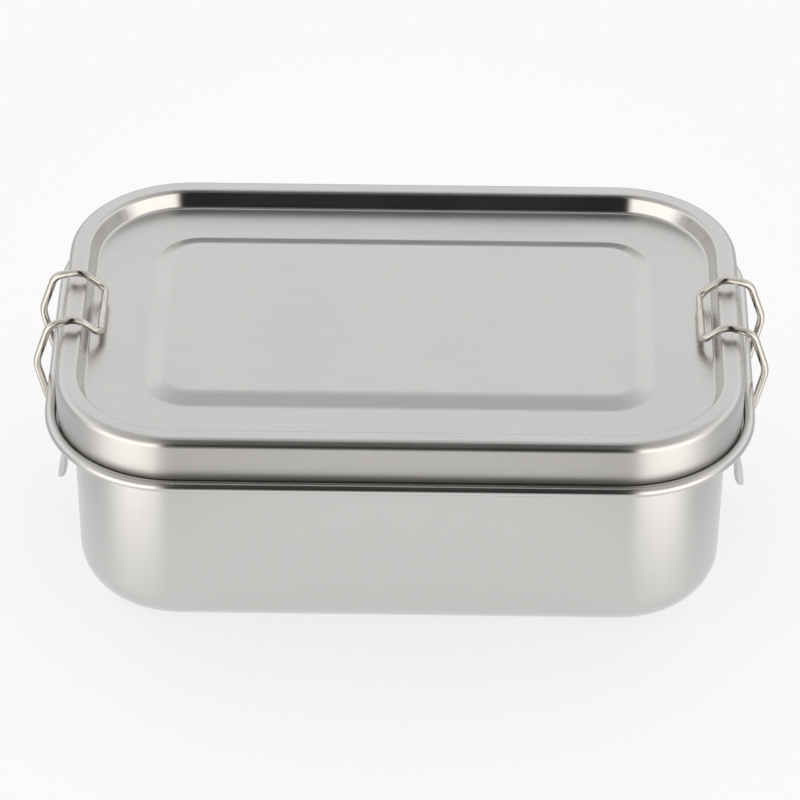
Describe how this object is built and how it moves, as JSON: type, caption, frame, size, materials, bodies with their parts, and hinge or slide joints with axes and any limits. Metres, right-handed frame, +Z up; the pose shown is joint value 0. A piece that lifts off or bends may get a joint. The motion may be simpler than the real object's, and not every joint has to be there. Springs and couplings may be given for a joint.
{
  "type": "lunch box",
  "caption": "Rectangular stainless-steel lunch box with rounded corners, a lift-off lid with a recessed top and raised field, and a wire-hook lever clip at each end.",
  "frame": {"origin": "on the table, under the centre of the box", "axes": "+X along the long side, from one clip to the other; +Z up; the part is symmetric about the planes x=0 and y=0"},
  "size_m": [0.1842, 0.1204, 0.0654],
  "materials": {
    "tub_steel": "satin stainless steel",
    "lid_steel": "stainless steel brushed along the long side",
    "clip_steel": "polished stainless sheet",
    "wire_steel": "polished stainless wire",
    "seal_silicone": "milky silicone"
  },
  "bodies": {
    "tub": {"tub": "tub_steel", "left_bracket": "clip_steel", "right_bracket": "clip_steel", "left_hinge_pin": "wire_steel", "right_hinge_pin": "wire_steel"},
    "lid": {"lid": "lid_steel", "lid_seal": "seal_silicone"},
    "left_lever": {"left_lever": "clip_steel"},
    "left_hook": {"left_hook": "wire_steel"},
    "right_lever": {"right_lever": "clip_steel"},
    "right_hook": {"right_hook": "wire_steel"}
  },
  "joints": [
    {"name": "lid_lift", "type": "slide", "parent": "tub", "child": "lid", "axis": [0, 0, 1], "range_m": [0, 0.14]},
    {"name": "left_lever_hinge", "type": "hinge", "parent": "tub", "child": "left_lever", "pos_m": [-0.084, 0, 0.043], "axis": [0, 1, 0], "range_deg": [0, 85]},
    {"name": "left_hook_hinge", "type": "hinge", "parent": "left_lever", "child": "left_hook", "pos_m": [-0.0874, 0, 0.0367], "axis": [0, -1, 0], "range_deg": [0, 104]},
    {"name": "right_lever_hinge", "type": "hinge", "parent": "tub", "child": "right_lever", "pos_m": [0.084, 0, 0.043], "axis": [0, -1, 0], "range_deg": [0, 85]},
    {"name": "right_hook_hinge", "type": "hinge", "parent": "right_lever", "child": "right_hook", "pos_m": [0.0874, 0, 0.0367], "axis": [0, 1, 0], "range_deg": [0, 104]}
  ],
  "couplings": [
    {"joint": "left_hook_hinge", "follows": "left_lever_hinge", "ratio": 1.22},
    {"joint": "right_hook_hinge", "follows": "right_lever_hinge", "ratio": 1.22}
  ]
}
